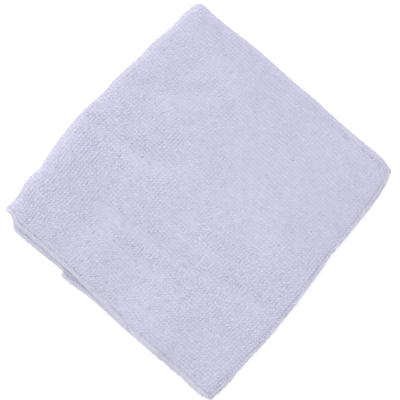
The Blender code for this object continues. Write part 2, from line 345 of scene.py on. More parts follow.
@dataclass
class FoldPlan:
    """How the flat cloth is folded in quarters and how the stack then lies."""

    cut: float = 300.0
    sheet: float = 2.0
    layer_gap: float = 0.55
    first_fold_gap: float = 1.1
    second_fold_gap: float = 1.0
    gap_reach: float = 9.0
    peek_reach: float = 26.0
    outline: Outline = field(default_factory=Outline)
    relief: Relief = field(default_factory=Relief)
    left_peeks: HemPeeks = field(default_factory=lambda: HemPeeks(
        bottom=EdgeCurve(((90.0, 0.0), (101.0, 1.2), (115.0, 1.7), (134.0, 1.5), (139.0, 0.2), (145.0, 0.0))),
        lower_inner=EdgeCurve((
            (90.0, 0.5), (101.0, 1.9), (115.0, 2.5), (134.0, 2.3), (139.0, 0.4), (145.0, -0.6),
        )),
        upper_inner=EdgeCurve((
            (40.0, 0.0), (60.0, 0.9), (80.0, 2.0), (99.0, 4.6), (101.5, 1.8),
            (115.0, 2.2), (134.0, 1.9), (139.0, 0.3), (145.0, -0.6),
        )),
    ))
    front_peeks: HemPeeks = field(default_factory=lambda: HemPeeks(
        bottom=EdgeCurve(((0.0, 0.6), (20.0, 0.0), (110.0, -1.0), (151.0, 0.0))),
        lower_inner=EdgeCurve(((0.0, -0.6), (110.0, -0.4), (130.0, 0.6), (147.0, 1.2), (151.0, 0.6))),
        upper_inner=EdgeCurve(((0.0, 1.0), (12.0, 0.9), (30.0, -0.8), (120.0, -0.8), (151.0, 0.6))),
    ))
    shift: Place = (0.0, 0.0)

    @property
    def half_side(self) -> float:
        """Half the side of the neat folded square."""
        return self.cut / 4

    @property
    def first_radius(self) -> float:
        """Outer radius of the first fold."""
        return self.sheet + self.first_fold_gap / 2

    @property
    def second_radius(self) -> float:
        """Outer radius of the second fold."""
        return 2 * self.sheet + self.layer_gap + self.second_fold_gap / 2

    @property
    def stack(self) -> float:
        """Even height of the four layers."""
        return 4 * self.sheet + 3 * self.layer_gap

    def round_fold(self, flat: np.ndarray, radius: float) -> np.ndarray:
        """Share of the way round a fold, from 0 before it to 1 after it."""
        return np.clip((flat - self.cut / 2 + radius) / (2 * radius), 0.0, 1.0)

    def gap_at(self, flat: np.ndarray, radius: float, fold_gap: float) -> np.ndarray:
        """Space between two layers, which widens towards the fold that joins them."""
        distance = np.maximum(np.abs(flat - self.cut / 2) - radius, 0.0)
        return self.layer_gap + (fold_gap - self.layer_gap) * np.exp(-((distance / self.gap_reach) ** 2))

    def turn_over(
        self, flat: np.ndarray, depth: np.ndarray, radius: float, half_height: np.ndarray
    ) -> tuple[np.ndarray, np.ndarray]:
        """Fold one direction of the cloth over itself.

        Args:
            flat: Places along the flat cloth.
            depth: Heights above the outer face.
            radius: Outer radius of the fold.
            half_height: Height of the middle of the gap between the two runs.

        Returns:
            The places across the folded cloth and their heights.
        """
        centre = self.half_side - radius
        bend_start, bend_end = self.cut / 2 - radius, self.cut / 2 + radius
        turn = math.pi * self.round_fold(flat, radius)
        reach = half_height - depth
        run = np.where(flat < bend_start, bend_start - flat, np.maximum(flat - bend_end, 0.0))
        return centre - run + reach * np.sin(turn), half_height - reach * np.cos(turn)

    def place(self, u: np.ndarray, v: np.ndarray, n: np.ndarray) -> np.ndarray:
        """Put points of the flat cloth where they lie in the finished stack.

        Args:
            u: Places along the cloth's first side, in millimetres.
            v: Places along its second side, in millimetres.
            n: Heights above the outer face, in millimetres; below 0 stands proud of it.

        Returns:
            An array of x, y and z rows, in metres.
        """
        first_half = self.sheet + self.gap_at(u, self.first_radius, self.first_fold_gap) / 2
        x, height = self.turn_over(u, n, self.first_radius, first_half)
        second_half = 2 * first_half + self.gap_at(v, self.second_radius, self.second_fold_gap) / 2
        y, z = self.turn_over(v, height, self.second_radius, second_half)
        from_left, from_front = x + self.half_side, y + self.half_side
        side = 2 * self.half_side
        over_first = ease(self.round_fold(u, self.first_radius))
        over_second = ease(self.round_fold(v, self.second_radius))
        along_left = from_front / side * self.outline.left_length()
        along_front = from_left / side * self.outline.front_length()
        left_out = self.left_peeks.read(along_left, over_first, over_second)
        left_out = left_out * (1 - ease(from_left / self.peek_reach))
        front_out = self.front_peeks.read(along_front, over_first, over_second)
        front_out = front_out * (1 - ease(from_front / self.peek_reach))
        from_left, from_front = from_left - left_out, from_front - front_out
        fitted_x, fitted_y = self.outline.fit(from_left / side, from_front / side)
        inside_left, inside_front = np.maximum(from_left, 0.0), np.maximum(from_front, 0.0)
        lift = self.relief.read(fitted_x, fitted_y, inside_left, inside_front, side - from_front)
        z = z * (1 + lift / self.stack)
        placed = np.stack([fitted_x + self.shift[0], fitted_y + self.shift[1], z], axis=-1)
        return placed * METRES

    def centre_on(self, low: Vector, high: Vector) -> None:
        """Shift the plan so that its sheet fills the same box as the solid cloth.

        Args:
            low: Lowest corner of the solid cloth, in metres.
            high: Highest corner of the solid cloth, in metres.
        """
        lines = np.linspace(0.0, self.cut, PROBE_LINES)
        u, v = np.meshgrid(lines, lines)
        faces = [self.place(u, v, np.full(u.shape, n)) for n in (0.0, self.sheet)]
        points = np.concatenate([face.reshape(-1, 3) for face in faces])
        middle = (points.min(axis=0) + points.max(axis=0)) / 2
        self.shift = (
            (low.x + high.x) / 2 / METRES - middle[0] / METRES,
            (low.y + high.y) / 2 / METRES - middle[1] / METRES,
        )


@dataclass(frozen=True)
class KnitGround:
    """The knitted ground that carries the pile: its two faces and how finely it is divided."""

    low: float = 0.3
    high: float = 1.7
    run_cells: int = 50
    bend_cells: int = 12

    @property
    def middle(self) -> float:
        """Height of the middle of the ground."""
        return (self.low + self.high) / 2

    def lines(self, plan: FoldPlan, radius: float) -> np.ndarray:
        """Grid lines across the flat cloth, close together in the bend of a fold.

        Args:
            plan: The fold plan.
            radius: The fold's outer radius.

        Returns:
            The place of each line, in millimetres.
        """
        bend_start, bend_end = plan.cut / 2 - radius, plan.cut / 2 + radius
        runs = (
            np.linspace(0.0, bend_start, self.run_cells + 1)[:-1],
            np.linspace(bend_start, bend_end, self.bend_cells + 1)[:-1],
            np.linspace(bend_end, plan.cut, self.run_cells + 1),
        )
        return np.concatenate(runs)

    def build(self, plan: FoldPlan) -> bpy.types.Object:
        """Model the ground as a flat thick grid and fold it.

        Args:
            plan: The fold plan.

        Returns:
            The folded ground, one closed sheet.
        """
        across = self.lines(plan, plan.first_radius)
        down = self.lines(plan, plan.second_radius)
        bpy.ops.object.select_all(action="DESELECT")
        bpy.ops.mesh.primitive_grid_add(
            x_subdivisions=len(across) - 1, y_subdivisions=len(down) - 1, size=1.0, location=(0.5, 0.5, 0.0)
        )
        bpy.ops.object.transform_apply(location=True, rotation=True, scale=True)
        ground = bpy.context.object
        ground.name = "knit_ground"
        ground.data.name = "knit_ground"
        points = read_points(ground.data)
        columns = np.rint(points[:, 0] * (len(across) - 1)).astype(int)
        rows = np.rint(points[:, 1] * (len(down) - 1)).astype(int)
        points[:, 0] = across[columns]
        points[:, 1] = down[rows]
        points[:, 2] = self.middle
        write_points(ground.data, points)
        thicken = ground.modifiers.new("thickness", "SOLIDIFY")
        thicken.thickness = self.high - self.low
        thicken.offset = 0.0
        bpy.ops.object.modifier_apply(modifier=thicken.name)
        flat = read_points(ground.data)
        corner_flat = flat[read_corners(ground.data)]
        shares = corner_flat[:, :2] / plan.cut
        add_map(ground.data, FLAT_MAP, shares)
        on_inner_face = corner_flat[:, 2] > self.middle
        half = (shares[:, 0] * (1 - 2 * BAKE_MARGIN) + BAKE_MARGIN + on_inner_face) / 2
        add_map(ground.data, BAKE_MAP, np.stack([half, shares[:, 1]], axis=1))
        write_points(ground.data, plan.place(flat[:, 0], flat[:, 1], flat[:, 2]))
        ground.data.shade_smooth()
        return ground


def read_points(mesh: bpy.types.Mesh) -> np.ndarray:
    """Read a mesh's vertices.

    Args:
        mesh: The mesh.

    Returns:
        One row of x, y and z for each vertex.
    """
    flat = np.empty(len(mesh.vertices) * 3)
    mesh.vertices.foreach_get("co", flat)
    return flat.reshape(-1, 3)


def write_points(mesh: bpy.types.Mesh, points: np.ndarray) -> None:
    """Move a mesh's vertices to rows of x, y and z."""
    mesh.vertices.foreach_set("co", points.astype(np.float32).ravel())
    mesh.update()


def read_corners(mesh: bpy.types.Mesh) -> np.ndarray:
    """Read which vertex each face corner is.

    Args:
        mesh: The mesh.

    Returns:
        One vertex number for each corner.
    """
    corners = np.empty(len(mesh.loops), dtype=np.int32)
    mesh.loops.foreach_get("vertex_index", corners)
    return corners


def add_map(mesh: bpy.types.Mesh, name: str, places: np.ndarray) -> None:
    """Give a mesh a UV map, one place for each face corner."""
    layer = mesh.uv_layers.new(name=name)
    layer.data.foreach_set("uv", places.astype(np.float32).ravel())


@dataclass(frozen=True)
class Pattern:
    """One small closed shape that is repeated all over the cloth: its vertices and its triangles."""

    points: np.ndarray
    triangles: np.ndarray


@dataclass(frozen=True)
class HalfRing:
    """A yarn bent into an arch with closed feet, with legs if it has a leg length.

    The yarn is thinner than the arch's radius, spread is its width over its thickness, and steps
    is an even number, so that the arch ends on a ring of vertices.
    """

    radius: float
    yarn: float
    sides: int
    steps: int
    spread: float = 1.0
    leg: float = 0.0

    def model(self) -> Pattern:
        """Model the arch from half a torus, standing on z = 0 with its feet along y.

        Returns:
            The finished arch as a pattern; the object that it was modelled in is removed.
        """
        bpy.ops.object.select_all(action="DESELECT")
        bpy.ops.mesh.primitive_torus_add(
            major_segments=2 * self.steps,
            minor_segments=self.sides,
            major_radius=self.radius,
            minor_radius=self.yarn,
            rotation=(0.0, math.pi / 2, 0.0),
        )
        arch = bpy.context.object
        bpy.ops.object.transform_apply(location=True, rotation=True, scale=True)
        arch.scale = (self.spread, 1.0, 1.0)
        bpy.ops.object.transform_apply(location=True, rotation=True, scale=True)
        bpy.ops.object.mode_set(mode="EDIT")
        bpy.ops.mesh.select_all(action="SELECT")
        bpy.ops.mesh.bisect(
            plane_co=(0.0, 0.0, 0.0),
            plane_no=(0.0, 0.0, 1.0),
            clear_inner=True,
            use_fill=True,
            threshold=self.yarn * CUT_TOLERANCE,
        )
        if self.leg:
            bpy.ops.object.mode_set(mode="OBJECT")
            for face in arch.data.polygons:
                face.select = face.normal.z < DOWNWARD and abs(face.center.z) < self.yarn * FOOT_TOLERANCE
            bpy.ops.object.mode_set(mode="EDIT")
            bpy.ops.mesh.select_mode(type="FACE")
            bpy.ops.mesh.extrude_region_move(TRANSFORM_OT_translate={"value": (0.0, 0.0, -self.leg)})
        bpy.ops.mesh.select_all(action="SELECT")
        bpy.ops.mesh.quads_convert_to_tris()
        bpy.ops.mesh.normals_make_consistent(inside=False)
        bpy.ops.object.mode_set(mode="OBJECT")
        points = read_points(arch.data)
        triangles = read_corners(arch.data).reshape(-1, 3)
        bpy.data.objects.remove(arch, do_unlink=True)
        return Pattern(points, triangles)


def join_copies(name: str, points: np.ndarray, triangles: np.ndarray) -> bpy.types.Object:
    """Join copies of one pattern into one object.

    Args:
        name: The object's name.
        points: Placed vertices, one row of the pattern's vertices for each copy.
        triangles: The pattern's triangles.

    Returns:
        The joined object, smooth shaded.
    """
    copies, per_copy = points.shape[:2]
    corners = (triangles[None] + np.arange(copies)[:, None, None] * per_copy).astype(np.int32)
    mesh = bpy.data.meshes.new(name)
    mesh.vertices.add(copies * per_copy)
    mesh.vertices.foreach_set("co", points.astype(np.float32).ravel())
    mesh.loops.add(corners.size)
    mesh.loops.foreach_set("vertex_index", corners.ravel())
    mesh.polygons.add(corners.size // 3)
    mesh.polygons.foreach_set("loop_start", np.arange(0, corners.size, 3, dtype=np.int32))
    mesh.update(calc_edges=True)
    mesh.validate()
    mesh.shade_smooth()
    joined = bpy.data.objects.new(name, mesh)
    bpy.context.scene.collection.objects.link(joined)
    return joined


def dress(
    piece: bpy.types.Object,
    flat: np.ndarray,
    cut: float,
    box: tuple[np.ndarray, np.ndarray],
    **values: np.ndarray,
) -> None:
    """Give a piece of joined copies its maps and its values.

    Args:
        piece: The piece.
        flat: Each vertex's place on the flat cloth.
        cut: The flat cloth's side.
        box: The low and the high corner of what the bake map covers.
        values: Each vertex's named values.
    """
    corner_flat = flat.reshape(-1, 2)[read_corners(piece.data)]
    low, high = box
    add_map(piece.data, FLAT_MAP, corner_flat / cut)
    add_map(piece.data, BAKE_MAP, np.clip((corner_flat - low) / (high - low), 0.0, 1.0))
    for name, value in values.items():
        attribute = piece.data.attributes.new(name, "FLOAT", "POINT")
        attribute.data.foreach_set("value", value.astype(np.float32).ravel())


@dataclass(frozen=True)
class PilePatch:
    """One stretch of pile: its face and its bounds on the flat cloth."""

    name: str
    face: Face
    u_low: float
    u_high: float
    v_low: float
    v_high: float


class NapWave(NamedTuple):
    """One slow wave over the flat cloth.

    It has its radians per millimetre along u and v, how many times it takes a drift's start, and its
    share of the drift.
    """

    by_u: float
    by_v: float
    starts: float
    share: float


NAP_WAVES = (
    NapWave(0.061, 0.083, 1.0, 1.0),
    NapWave(-0.139, 0.102, 2.1, 0.7),
    NapWave(0.21, 0.19, 3.7, 0.5),
)


@dataclass(frozen=True)
class NapDrift:
    """A slow change of the nap over the cloth: how far it goes, where it starts and how it is stretched."""

    reach: float
    start: float
    stretch_u: float = 1.0
    stretch_v: float = 1.0

    def read(self, u: np.ndarray, v: np.ndarray) -> np.ndarray:
        """Read how far the nap has changed.

        Args:
            u: Places along the cloth's first side, in millimetres.
            v: Places along its second side, in millimetres.

        Returns:
            The change at each place, from about -reach to reach.
        """
        along_u, along_v = self.stretch_u * u, self.stretch_v * v
        total = sum(
            wave.share * np.sin(wave.by_u * along_u + wave.by_v * along_v + wave.starts * self.start)
            for wave in NAP_WAVES
        )
        return self.reach * total / sum(wave.share for wave in NAP_WAVES)


@dataclass
class Pile:
    """The looped pile: the loop, the rows in which it is knitted and the patches that it covers.

    The borders are how far the middles of the loops keep from the cut edges; below 0 they reach past
    them. Rows and courses run off the cut edges by their slants, in millimetres per millimetre.
    """

    plan: FoldPlan
    ground: KnitGround
    row_pitch: float = 1.82
    loop_pitch: float = 1.78
    free_height: float = 0.345
    pressed_height: float = 0.3
    fold_freedom: float = 0.45
    root_depth: float = 0.12
    loop: HalfRing = HalfRing(radius=0.54, yarn=0.46, sides=6, steps=4, spread=1.6)
    plain_loop: HalfRing = HalfRing(radius=0.78, yarn=0.50, sides=4, steps=4, spread=1.5)
    left_border: float = 0.3
    front_border: float = -0.2
    edge_band: float = 5.6
    wander: float = 0.12
    yaw: float = 0.3
    twist: float = 0.8
    lean: float = 0.25
    size_spread: float = 0.07
    size_limit: float = 0.3
    height_spread: float = 0.5
    yaw_drift: NapDrift = NapDrift(0.15, 0.0)
    lean_u_drift: NapDrift = NapDrift(0.08, 1.3)
    lean_v_drift: NapDrift = NapDrift(0.08, 4.4)
    row_drift: NapDrift = NapDrift(0.7, 2.2, 0.4, 0.7)
    course_drift: NapDrift = NapDrift(0.7, 5.9, 0.8, 0.4)
    row_slant: float = 0.033
    course_slant: float = 0.052
    seed: int = 11

    def top_patches(self) -> list[PilePatch]:
        """Divide the top layer and the second fold.

        Returns:
            Three patches, each small enough for one object.
        """
        third = (self.plan.cut / 2 + self.plan.first_radius - self.left_border) / 3
        edges = [self.left_border + third * i for i in range(4)]
        start = self.plan.cut / 2 - self.plan.second_radius
        names = ("pile_top_left", "pile_top_middle", "pile_top_right")
        return [
            PilePatch(name, Face.OUTER, low, high, start, self.plan.cut - self.front_border)
            for name, low, high in zip(names, edges, edges[1:])
        ]

    def under_patches(self) -> list[PilePatch]:
        """Divide the bottom layer and the first fold, as far as the second fold.

        Returns:
            Two patches, one for each object.
        """
        start = self.plan.cut / 2 - self.plan.second_radius
        middle = self.plan.cut / 4
        high = self.plan.cut / 2 + self.plan.first_radius
        return [
            PilePatch("pile_under_left", Face.OUTER, self.left_border, middle, self.front_border, start),
            PilePatch("pile_under_right", Face.OUTER, middle, high, self.front_border, start),
        ]

    def inside_patches(self) -> list[PilePatch]:
        """Mark the bands of pile between the layers, as far in as they can be seen from outside.

        Returns:
            The bands, which together make one object.
        """
        cut, band = self.plan.cut, self.edge_band
        left, front = self.left_border, self.front_border
        bend = cut / 2 + self.plan.first_radius
        left_end, front_end = cut - left, cut - front
        left_start, front_start = left_end - band, front_end - band
        return [
            PilePatch("fold_groove", Face.OUTER, bend, bend + band, front, front_end),
            PilePatch("left_turned", Face.OUTER, left_start, left_end, front, front_end),
            PilePatch("front_low", Face.OUTER, bend + band, left_start, front, front + band),
            PilePatch("front_high", Face.OUTER, bend + band, left_start, front_start, front_end),
            PilePatch("left_inner", Face.INNER, left, left + band, front, front_end),
            PilePatch("left_turned_inner", Face.INNER, left_start, left_end, front, front_end),
            PilePatch("front_low_inner", Face.INNER, left + band, left_start, front, front + band),
            PilePatch("front_high_inner", Face.INNER, left + band, left_start, front_start, front_end),
        ]

    def loop_places(self, patch: PilePatch) -> tuple[np.ndarray, np.ndarray]:
        """Places of the loops of one patch, on rows and courses that run a little off the cut edges.

        Args:
            patch: The patch to cover.

        Returns:
            The u and v of each loop's middle.
        """
        middle = self.plan.cut / 2
        slack = middle * max(self.row_slant, self.course_slant)
        first_row = math.floor((patch.u_low - slack) / self.row_pitch)
        last_row = math.ceil((patch.u_high + slack) / self.row_pitch)
        first_course = math.floor((patch.v_low - slack) / self.loop_pitch)
        last_course = math.ceil((patch.v_high + slack) / self.loop_pitch)
        row, course = np.meshgrid(
            np.arange(first_row, last_row + 1) * self.row_pitch,
            np.arange(first_course, last_course + 1) * self.loop_pitch,
            indexing="ij",
        )
        u = row - self.row_slant * (course - middle)
        v = course + self.course_slant * (row - middle)
        inside = (u >= patch.u_low) & (u < patch.u_high) & (v >= patch.v_low) & (v < patch.v_high)
        return u[inside], v[inside]

    def height(self, u: np.ndarray, v: np.ndarray, face: Face) -> np.ndarray:
        """Height of the loops above the ground: full on top, less round the folds, least between layers.

        Args:
            u: Places along the cloth's first side, in millimetres.
            v: Places along its second side, in millimetres.
            face: The face that the loops stand on.

        Returns:
            The height of each loop, in millimetres.
        """
        if face is Face.INNER:
            return np.full(u.shape, self.pressed_height)
        first = self.plan.round_fold(u, self.plan.first_radius)
        second = self.plan.round_fold(v, self.plan.second_radius)
        on_top = ease(second) * (1 - ease(first))
        on_first_fold = self.fold_freedom * np.sin(math.pi * first)
        on_second_fold = self.fold_freedom * np.sin(math.pi * second) * (1 - ease(2 * first - 1))
        freedom = np.maximum(np.maximum(on_top, on_first_fold), on_second_fold)
        return self.pressed_height + (self.free_height - self.pressed_height) * freedom

    def lay(
        self, patch: PilePatch, pattern: Pattern, shape: HalfRing, chance: np.random.Generator
    ) -> tuple[np.ndarray, ...]:
        """Lay one patch of loops, each a little different, and fold it.

        Args:
            patch: The patch to cover.
            pattern: The modelled loop.
            shape: The sizes that the loop was modelled with.
            chance: Source of the loops' differences.

        Returns:
            The placed vertices, their flat places, how high each is on its loop, how far across its
            yarn, and each loop's tone.
        """
        u, v = self.loop_places(patch)
        count = len(u)
        size = 1 + chance.normal(0.0, self.size_spread, count).clip(-self.size_limit, self.size_limit)
        yaw = chance.normal(0.0, self.yaw, count) + self.yaw_drift.read(u, v)
        twist = chance.normal(0.0, self.twist, count)
        lean_u = chance.normal(0.0, self.lean, count) + self.lean_u_drift.read(u, v)
        lean_v = chance.normal(0.0, self.lean, count) + self.lean_v_drift.read(u, v)
        u = u + chance.normal(0.0, self.wander, count) + self.row_drift.read(u, v)
        v = v + chance.normal(0.0, self.wander, count) + self.course_drift.read(u, v)
        tone = chance.random(count)
        height = self.height(u, v, patch.face) * (1 + self.height_spread * (size - 1))
        local = pattern.points
        reach = shape.radius + shape.yarn
        rise = np.clip(local[:, 2] / reach, 0.0, 1.0)
        along = local[None, :, 1] * size[:, None]
        across = local[None, :, 0] * size[:, None]
        turn = yaw[:, None] + twist[:, None] * (rise - 0.5)
        turned_u = across * np.cos(turn) - along * np.sin(turn)
        turned_v = across * np.sin(turn) + along * np.cos(turn)
        lift = rise[None, :] * (height + self.root_depth)[:, None] - self.root_depth
        turned_u = turned_u + lean_u[:, None] * np.maximum(lift, 0.0)
        turned_v = turned_v + lean_v[:, None] * np.maximum(lift, 0.0)
        if patch.face is Face.OUTER:
            placed_u = u[:, None] - turned_u
            depth = self.ground.low - lift
        else:
            placed_u = u[:, None] + turned_u
            depth = self.ground.high + lift
        placed_v = v[:, None] + turned_v
        points = self.plan.place(placed_u, placed_v, depth)
        flat = np.stack([placed_u, placed_v], axis=-1)
        strand = local[:, 0] / (shape.yarn * shape.spread)
        shared = (np.broadcast_to(values, along.shape) for values in (rise, strand, tone[:, None]))
        return points, flat, *shared

    def build_piece(self, name: str, patches: list[PilePatch], shape: HalfRing) -> bpy.types.Object:
        """Build one object of pile.

        Args:
            name: The object's name.
            patches: The patches that it covers.
            shape: The loop's sizes.

        Returns:
            The object, with its maps and values.
        """
        chance = np.random.default_rng([self.seed, *name.encode()])
        pattern = shape.model()
        laid = [self.lay(patch, pattern, shape, chance) for patch in patches]
        points, flat, rise, strand, tone = (np.concatenate(parts) for parts in zip(*laid))
        piece = join_copies(name, points, pattern.triangles)
        box = flat.min(axis=(0, 1)), flat.max(axis=(0, 1))
        dress(piece, flat, self.plan.cut, box, rise=rise, strand=strand, tone=tone)
        log.info("%s: %d loops, %d triangles", name, len(points), len(piece.data.polygons))
        return piece

    def build(self) -> list[bpy.types.Object]:
        """Build all the pile, piece by piece.

        Returns:
            The pieces.
        """
        pieces = [self.build_piece(patch.name, [patch], self.loop) for patch in self.top_patches()]
        pieces += [self.build_piece(patch.name, [patch], self.plain_loop) for patch in self.under_patches()]
        pieces.append(self.build_piece("pile_inside", self.inside_patches(), self.plain_loop))
        return pieces


@dataclass
class OverlockHem:
    """The overlocked hem: slanted stitches of thread, wound over the four cut edges."""

    plan: FoldPlan
    ground: KnitGround
    left_width: float = 1.2
    front_width: float = 0.4
    pitch: float = 0.8
    thread: float = 0.26
    thread_spread: float = 1.9
    thread_rise: float = 0.55
    slant: float = 0.5
    stitch_sides: int = 5
    stitch_steps: int = 4
    wander: float = 0.12
    seed: int = 23

    def to_flat(self, side: HemSide, inward: np.ndarray, along: np.ndarray) -> tuple[np.ndarray, np.ndarray]:
        """Turn places beside one hem into places on the flat cloth.

        Args:
            side: The hem.
            inward: Distances in from the cut edge.
            along: Distances along the edge.

        Returns:
            The u and v of each place.
        """
        cut = self.plan.cut
        if side is HemSide.LEFT:
            return inward, along
        if side is HemSide.LEFT_TURNED:
            return cut - inward, cut - along
        if side is HemSide.FRONT:
            return cut - along, inward
        return along, cut - inward

    def build_stitches(self) -> bpy.types.Object:
        """Wind stitches over all four cut edges.

        Returns:
            The stitches as one object.
        """
        chance = np.random.default_rng(self.seed)
        half_height = (self.ground.high - self.ground.low) / 2 + self.thread * self.thread_rise
        count = int(self.plan.cut / self.pitch) - 1
        wound = []
        for side in HemSide:
            width = self.left_width if side in (HemSide.LEFT, HemSide.LEFT_TURNED) else self.front_width
            shape = HalfRing(
                radius=half_height,
                yarn=self.thread,
                sides=self.stitch_sides,
                steps=self.stitch_steps,
                spread=self.thread_spread,
                leg=width,
            )
            pattern = shape.model()
            local = pattern.points
            middles = (np.arange(count) + 1.0) * self.pitch + chance.normal(0.0, self.wander, count)
            inward = -local[None, :, 2] + chance.normal(0.0, self.wander, count)[:, None]
            sway = self.slant * local[None, :, 2] / width
            along = middles[:, None] + local[None, :, 0] + sway
            depth = self.ground.middle + local[None, :, 1] + np.zeros_like(along)
            u, v = self.to_flat(side, inward, along)
            strand = np.broadcast_to(local[:, 0] / (self.thread * self.thread_spread), along.shape)
            tone = np.broadcast_to(chance.random(count)[:, None], along.shape)
            wound.append((self.plan.place(u, v, depth), np.stack([u, v], axis=-1), strand, tone))
        points, flat, strand, tone = (np.concatenate(parts) for parts in zip(*wound))
        piece = join_copies("hem_overlock", points, pattern.triangles)
        box = np.zeros(2), np.full(2, self.plan.cut)
        dress(piece, flat, self.plan.cut, box, rise=np.ones(strand.shape), strand=strand, tone=tone)
        log.info("%s: %d stitches", piece.name, count * len(HemSide))
        return piece


@dataclass(frozen=True)
class TerryFinish:
    """Lavender microfibre: its tones, with painted shade in the root tone, its mattness and how uneven it is.
    """

    tip: Colour = (0.589, 0.583, 0.736, 1.0)
    # The root tone is painted shade: a little darker than the tip, for the shade at the feet of the loops.
    root: Colour = (0.576, 0.567, 0.721, 1.0)
    warm: Colour = (0.595, 0.577, 0.732, 1.0)
    roughness: float = 0.95
    shine: float = 0.2
    sheen: float = 0.3
    sheen_roughness: float = 0.5
    tone_spread: float = 0.04
    scatter: float = 0.7
    scatter_reach: float = 0.0007
    fibre_depth: float = 0.0004
    stitch_depth: float = 0.0003
    bump_strength: float = 0.8


TERRY_FINISH = TerryFinish()
# Painted shade: the knitted ground takes the pile's darker root tone, for the shade that the loops cast on
# it.
GROUND_FINISH = TerryFinish(tip=TERRY_FINISH.root, warm=TERRY_FINISH.root)
# Painted light: the thread's tones are lighter than the pile's, to make up for the shade on the hem's
# drooping slopes.
THREAD_FINISH = TerryFinish(
    tip=(0.70, 0.692, 0.88, 1.0), root=(0.67, 0.66, 0.84, 1.0), warm=(0.70, 0.688, 0.87, 1.0), sheen=0.2
)


@dataclass(frozen=True)
class FibreLook:
    """How fine and how strong the unevenness of the microfibre is."""

    patch_scale: float = 70.0
    patch_detail: float = 3.0
    patch_spread: float = 0.1
    fuzz_scale: float = 5200.0
    fibre_detail: float = 2.0
    fibre_roughness: float = 0.6
    fibre_spread: float = 0.4
    across_yarn: float = 7.0
    along_yarn: float = 1.6
    between_loops: float = 60.0
    tip_power: float = 0.7


@dataclass(frozen=True)
class KnitLook:
    """The stitches of the knitted ground.

    Wales and courses are counted over the whole cloth, and the slant in courses from the middle of
    a wale to its side. The stitch share is what the stitches along a wale add to the height.
    """

    wales: float = 160.0
    courses: float = 240.0
    slant: float = 0.6
    roundness: float = 3.0
    stitch_share: float = 0.25


@dataclass(frozen=True)
class NodeDesk:
    """A node tree with short ways to add nodes and to feed their inputs with sockets or values."""

    tree: bpy.types.NodeTree

    def feed(self, node: bpy.types.Node, inputs: Inputs) -> None:
        """Join each input to a socket, or set it to a value.

        Args:
            node: The node to feed.
            inputs: A socket or a value for each input, by its name or its place.
        """
        for name, value in inputs.items():
            if isinstance(value, bpy.types.NodeSocket):
                self.tree.links.new(value, node.inputs[name])
            else:
                node.inputs[name].default_value = value

    def add(self, kind: str, inputs: Inputs | None = None, **properties: object) -> bpy.types.Node:
        """Add a node.

        Args:
            kind: The node's kind.
            inputs: What feeds its inputs.
            properties: Its properties.

        Returns:
            The node.
        """
        node = self.tree.nodes.new(kind)
        for name, value in properties.items():
            setattr(node, name, value)
        self.feed(node, inputs or {})
        return node

    def maths(self, operation: str, first: object, second: object = 0.0) -> bpy.types.NodeSocket:
        """Add a Math node and give its output; some operations read only the first input."""
        return self.add("ShaderNodeMath", {0: first, 1: second}, operation=operation).outputs[0]

    def mix(self, share: object, low: object, high: object) -> bpy.types.NodeSocket:
        """Add a node that mixes two colours and give its output."""
        inputs = {"Factor": share, "A": low, "B": high}
        return self.add("ShaderNodeMix", inputs, data_type="RGBA").outputs["Result"]

    def noise(self, place: bpy.types.NodeSocket, **inputs: float) -> bpy.types.NodeSocket:
        """Add a Noise Texture node that reads a place and give its grey output."""
        return self.add("ShaderNodeTexNoise", {"Vector": place, **inputs}).outputs["Fac"]

    def off_middle(self, value: object, amount: object) -> bpy.types.NodeSocket:
        """How far a value from 0 to 1 is off its middle, times an amount."""
        return self.maths("MULTIPLY", self.maths("SUBTRACT", value, 0.5), amount)


def start_group(
    name: str, inputs: dict[str, tuple[str, object]], outputs: dict[str, str]
) -> tuple[NodeDesk, bpy.types.Node, bpy.types.Node]:
    """Start a node group with its sockets.

    Args:
        name: The group's name.
        inputs: The kind and the value of each input.
        outputs: The kind of each output.

    Returns:
        The group's desk, its entry node and its exit node.
    """
    group = bpy.data.node_groups.new(name, "ShaderNodeTree")
    for label, (kind, value) in inputs.items():
        socket = group.interface.new_socket(name=label, in_out="INPUT", socket_type=kind)
        socket.default_value = value
    for label, kind in outputs.items():
        group.interface.new_socket(name=label, in_out="OUTPUT", socket_type=kind)
    desk = NodeDesk(group)
    return desk, desk.add("NodeGroupInput"), desk.add("NodeGroupOutput")


